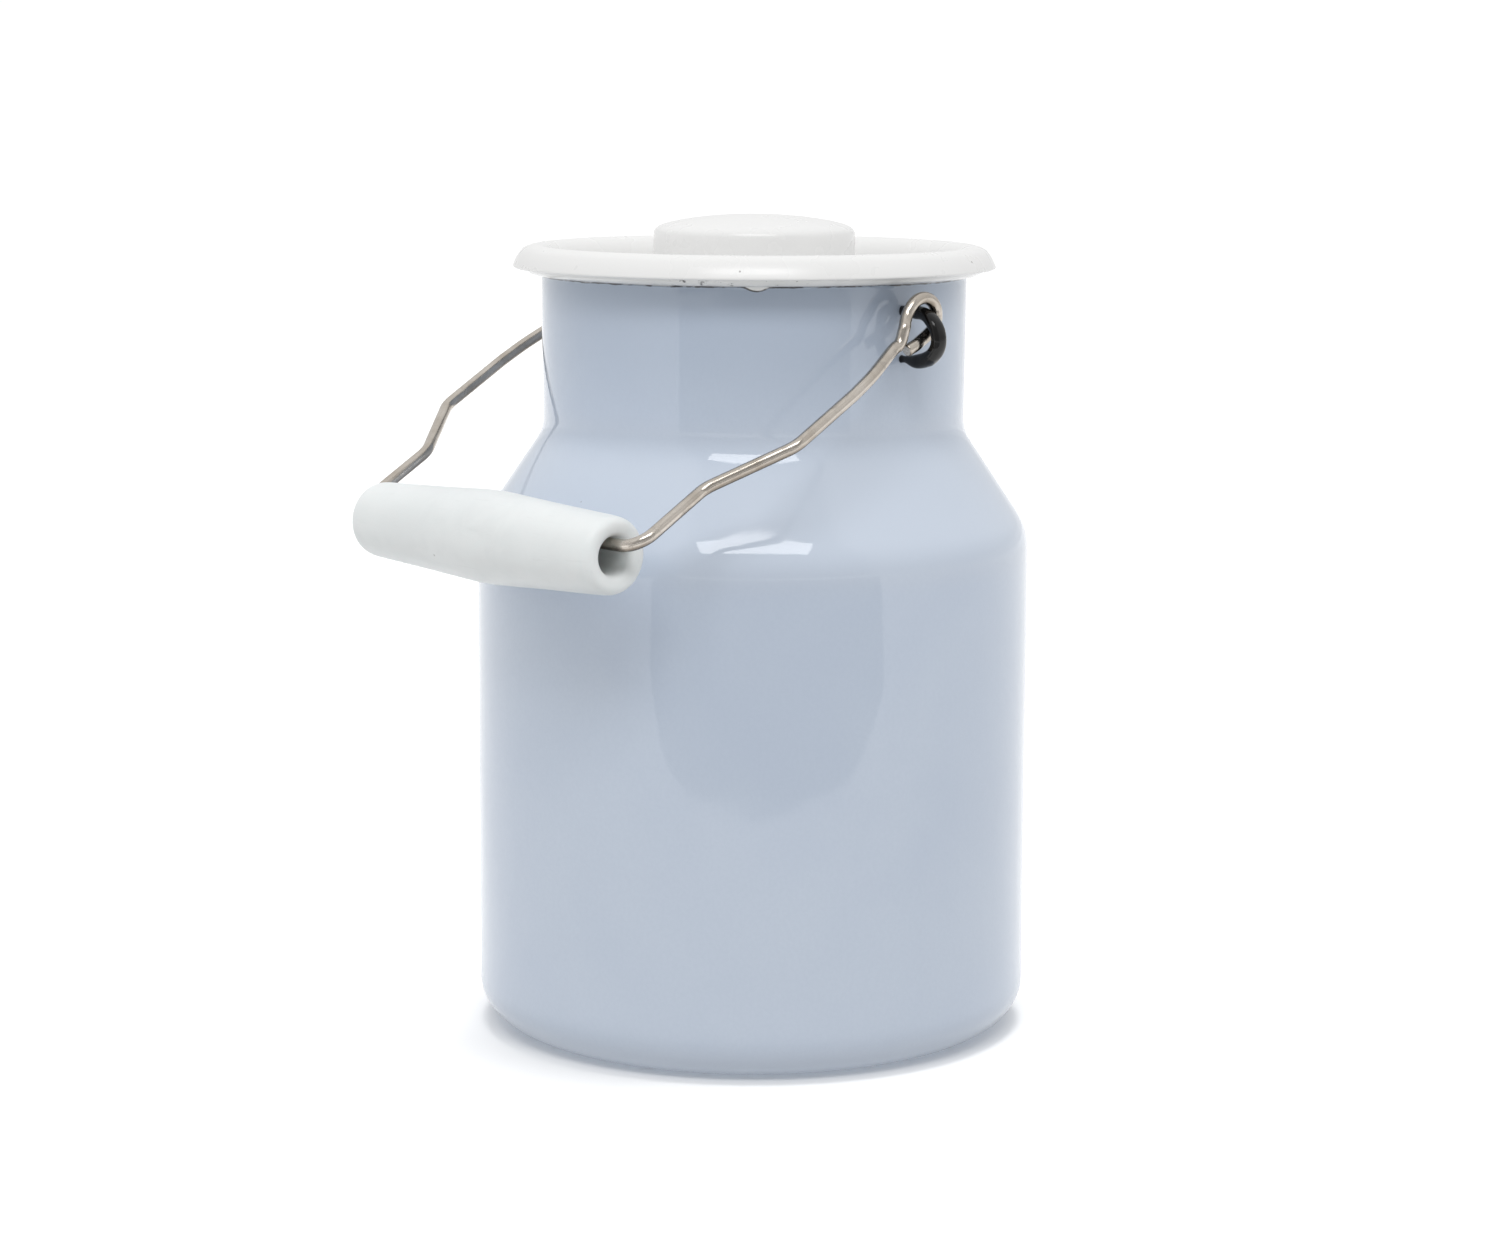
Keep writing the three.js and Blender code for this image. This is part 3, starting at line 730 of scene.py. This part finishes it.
# ------------------------------------------------------------------ bail
HOOK_LINE = [
    (62.62, -7.2, -7.55), (62.62, -5.8, -7.0), (62.6, -4.5, -6.5), (62.3, -3.3, -6.05), (61.95, -2.0, -5.5),
    (61.75, -0.6, -4.85), (61.55, 1.0, -3.95), (61.4, 2.3, -3.05), (61.3, 3.25, -1.9), (61.25, 3.78, -0.6),
    (61.2, 3.88, 0.6), (61.2, 3.72, 1.7), (61.25, 2.85, 3.15), (61.3, 1.6, 4.1), (61.35, 0.1, 4.6),
    (61.4, -1.3, 4.6), (61.4, -2.7, 4.2), (61.4, -4.15, 3.3), (61.4, -5.3, 2.0), (61.45, -6.2, 0.6),
    (61.85, -7.1, -0.7), (62.52, -8.0, -2.0), (62.6, -8.6, -3.4), (62.62, -9.05, -4.7), (62.62, -9.6, -5.65),
    (62.65, -10.45, -6.45)]


def bail_half():
    def lean(x, s):
        return (x, -s * math.cos(BAIL_DROP), -s * math.sin(BAIL_DROP))
    points = list(HOOK_LINE)
    points += [lean(HOOK_X + 0.15, 12.9), lean(63.2, 15.6), lean(64.4, 20), lean(65.7, 25.5), lean(ARM_X, 33)]
    smooth = spline(points, 6)
    arm = rounded([(ARM_X, 33, 0), (ARM_X, JOG_START, 7), (ARM_IN_X, JOG_END, 7), (ARM_IN_X, REACH, 5.6),
                   (0, REACH, 0)], 14)
    return smooth + [lean(x, s) for x, s in filled(arm, 3.0)[1:]]


def build_bail():
    half = bail_half()
    path = half + [(-x, y, z) for x, y, z in reversed(half[:-1])]
    path = [(x, y, z + PIVOT_Z) for x, y, z in path]
    # square-cut ends with a small burred edge
    first, last = Vector(path[0]), Vector(path[-1])
    d0, d1 = (first - Vector(path[1])).normalized(), (last - Vector(path[-2])).normalized()
    path = [tuple(first + d0 * 0.22), tuple(first + d0 * 0.12)] + path + [tuple(last + d1 * 0.12), tuple(last + d1 * 0.22)]
    n = len(path)

    def shape(i, u):
        r = WIRE_R * (0.80 if i in (0, n - 1) else 0.95 if i in (1, n - 2) else 1.0)
        return section("", r, r, 28)

    obj = sweep("bail_loop", path, shape, (1, 0, 0))
    mesh = obj.data
    # how far each point of the wire faces down at rest, which sets the painted shade on its underside
    under = mesh.attributes.new("under", "FLOAT", "POINT")
    under.data.foreach_set("value", np.array([-v.normal.z for v in mesh.vertices], np.float32))
    mesh.materials.append(wire_steel())
    mesh.materials.append(cut_steel())
    fans = [p.index for p in mesh.polygons if len(p.vertices) == 3]
    for i in fans:
        mesh.polygons[i].material_index = 1
        mesh.polygons[i].use_smooth = False
    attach(obj, "bail")
    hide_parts("bail_wire")
    return obj


# ------------------------------------------------------------------ grip
GRIP_Y = -REACH * math.cos(BAIL_DROP)
GRIP_Z = PIVOT_Z - REACH * math.sin(BAIL_DROP) - (GRIP_BORE_R - WIRE_R - 0.3)
GRIP_SPECK = (-0.0104, -0.0099, -0.0047)


def build_grip():
    half = spline([(GRIP_R_MID, 0), (11.18, 4.0), (11.0, 7.5), (10.68, 14.0), (10.25, 22.0), (9.78, 33.0),
                   (9.42, 41.0), (GRIP_R_END, 43.6), (9.02, 44.75), (8.45, 45.6), (7.75, 46.05), (7.0, 46.2),
                   (6.2, 46.12), (5.45, 45.85), (4.95, 45.35), (4.65, 44.6), (GRIP_BORE_R, 43.6)], 6)
    bore = filled([(GRIP_BORE_R, 43.6), (GRIP_BORE_R, 0)], 4.0)
    right = half + bore[1:]
    left = [(r, -z) for r, z in reversed(right[1:-1])]

    def move(x, y, z):
        r = math.hypot(x, y)
        if r < 6:
            return (x, y, z)
        k = (r + 0.06 * wave(x, y, z, 16.0, 2.2)) / r
        return (x * k, y * k, z)

    obj = revolve("hand_grip", right + left, 144, move, closed=True, along="x")
    obj.data.materials.append(white_plastic())
    obj.location = (0, GRIP_Y * MM, GRIP_Z * MM)
    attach(obj, "grip")
    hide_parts("grip_sleeve")
    return obj


# ------------------------------------------------------------------ camera
def build_camera():
    cam = bpy.data.cameras.new("camera")
    cam.sensor_fit = "HORIZONTAL"
    cam.sensor_width = 36.0
    cam.lens = 86.173
    cam.clip_start, cam.clip_end = 0.02, 40.0
    obj = bpy.data.objects.new("camera", cam)
    scene.collection.objects.link(obj)
    distance, height = 0.90679, 0.24220
    pitch, roll, yaw = math.radians(8.82), math.radians(0.248), math.radians(0.0495)
    turn = VIEW_TURN
    flat = Vector((-math.cos(turn), math.sin(turn), 0.0))
    flat = Matrix.Rotation(yaw, 3, "Z") @ flat
    right = flat.cross(Vector((0, 0, 1))).normalized()
    ahead = (flat * math.cos(pitch) - Vector((0, 0, 1)) * math.sin(pitch)).normalized()
    up = right.cross(ahead).normalized()
    right2 = right * math.cos(roll) + up * math.sin(roll)
    up2 = -right * math.sin(roll) + up * math.cos(roll)
    m = Matrix((right2, up2, -ahead)).transposed().to_4x4()
    m.translation = Vector((distance * math.cos(turn), -distance * math.sin(turn), height))
    obj.matrix_world = m
    scene.camera = obj
    return obj


# ------------------------------------------------------------------ studio
def area(name, place, aim, size, power, color=(1, 1, 1)):
    light = bpy.data.lights.new(name, "AREA")
    light.shape = "RECTANGLE"
    light.size, light.size_y = size
    light.energy = power
    light.color = color
    obj = bpy.data.objects.new(name, light)
    scene.collection.objects.link(obj)
    obj.location = place
    obj.rotation_euler = (Vector(aim) - Vector(place)).to_track_quat("-Z", "Y").to_euler()
    return obj


def around(deg, distance, height):
    """A place round the can, at an angle from the viewing side, anticlockwise from above."""
    w = -VIEW_TURN + math.radians(deg)
    return (distance * math.cos(w), distance * math.sin(w), height)


def build_studio():
    mesh = bpy.data.meshes.new("floor")
    bm = bmesh.new()
    bmesh.ops.create_circle(bm, cap_ends=True, segments=128, radius=14.0)
    bm.to_mesh(mesh)
    bm.free()
    floor = bpy.data.objects.new("floor", mesh)
    scene.collection.objects.link(floor)
    floor.location = (0, 0, -0.0002)
    n = Nodes("floor_white")
    n.set(Base_Color=n.mix(n.noise(3.0), (0.90, 0.90, 0.90), (0.92, 0.92, 0.92)), Roughness=0.9)
    n.shader.inputs["Specular IOR Level"].default_value = 0.0
    mesh.materials.append(n.mat)
    floor.visible_diffuse = False

    # the table ends in front of the can: a black field that only reflections see
    mesh = bpy.data.meshes.new("room_dark")
    near_edge = [(w, 0.405 + 0.26 * abs((w - 6) / 46.0) ** 6) for w in range(-40, 53, 4)]
    pts = [(r * math.cos(-VIEW_TURN + math.radians(w)), r * math.sin(-VIEW_TURN + math.radians(w)), 0.0006)
           for w, r in near_edge + [(w, 2.4) for w in range(52, -41, -4)]]
    mesh.from_pydata(pts, [], [tuple(range(len(pts)))])
    dark = bpy.data.objects.new("room_dark", mesh)
    scene.collection.objects.link(dark)
    n = Nodes("room_black")
    n.set(Base_Color=(0.01, 0.01, 0.012, 1.0), Roughness=1.0, Emission_Color=(1.0, 1.0, 1.0, 1.0), Emission_Strength=0.62)
    n.shader.inputs["Specular IOR Level"].default_value = 0.0
    mesh.materials.append(n.mat)
    dark.visible_camera = dark.visible_diffuse = dark.visible_shadow = False
    dark.visible_transmission = False

    # white all round and overhead, with a dark gap where the camera stands
    world = bpy.data.worlds.new("studio")
    scene.world = world
    world.use_nodes = True
    n = Nodes("world_scratch")
    t = world.node_tree
    t.nodes.clear()
    bpy.data.materials.remove(n.mat)
    n.t = t
    out = t.nodes.new("ShaderNodeOutputWorld")
    back = t.nodes.new("ShaderNodeBackground")
    n.object = t.nodes.new("ShaderNodeTexCoord").outputs["Generated"]
    ahead = n.vmath("DOT_PRODUCT", n.object, (math.cos(VIEW_TURN), -math.sin(VIEW_TURN), 0.0), out=1)
    aside = n.vmath("DOT_PRODUCT", n.object, (math.sin(VIEW_TURN), math.cos(VIEW_TURN), 0.0), out=1)
    turn = n.math("ARCTAN2", aside, ahead)
    up = n.split()[2]
    gap = n.math("MULTIPLY", n.ramp(turn, math.radians(-44), math.radians(-34)),
                 n.ramp(turn, math.radians(44), math.radians(56), 1.0, 0.0))
    gap = n.math("MULTIPLY", gap, n.ramp(up, math.sin(math.radians(58)), math.sin(math.radians(68)), 1.0, 0.0))
    gap = n.math("MULTIPLY", gap, n.ramp(up, -0.03, 0.0))
    sky = n.ramp(up, 0.2, 1.0, WALLS, CEILING, False)
    sky = n.ramp(n.ramp(up, 0.03, 0.10), 0.0, 1.0, 1.03, sky, False)
    sky = n.ramp(n.ramp(up, -0.05, -0.02), 0.0, 1.0, BELOW, sky, False)
    n.put(back.inputs["Strength"], n.ramp(gap, 0.0, 1.0, sky, ROOM, False))
    back.inputs["Color"].default_value = (1.0, 1.0, 1.0, 1.0)
    t.links.new(back.outputs[0], out.inputs[0])

    # the main softbox, high in front, and a floor light that evens out the table
    direction = around(0.5, math.cos(math.radians(50.0)), math.sin(math.radians(50.0)))
    place = Vector((0, 0, 0.13)) + Vector(direction) * 2.2
    area("soft_key", place, (0, 0, 0.13), (2 * 2.2 * math.tan(math.radians(18.5)), 2 * 2.2 * math.tan(math.radians(8.2))),
         KEY_POWER)
    sun = bpy.data.lights.new("table_light", "SUN")
    sun.energy = TABLE_POWER
    sun.angle = math.radians(24)
    lamp = bpy.data.objects.new("table_light", sun)
    scene.collection.objects.link(lamp)
    group = bpy.data.collections.new("table_only")
    group.objects.link(floor)
    lamp.light_linking.receiver_collection = group
    scene.view_settings.view_transform = "Standard"
    scene.view_settings.look = "None"
    scene.view_settings.exposure = 0.0
    scene.view_settings.gamma = 1.0


# ------------------------------------------------------------------ assembly
build_camera()
build_body()
ear_black = black_enamel()
build_ear(1, "ear_strap_right", ear_black)
build_ear(-1, "ear_strap_left", ear_black)
build_lid()
build_knob()
build_bail()
build_grip()
build_studio()
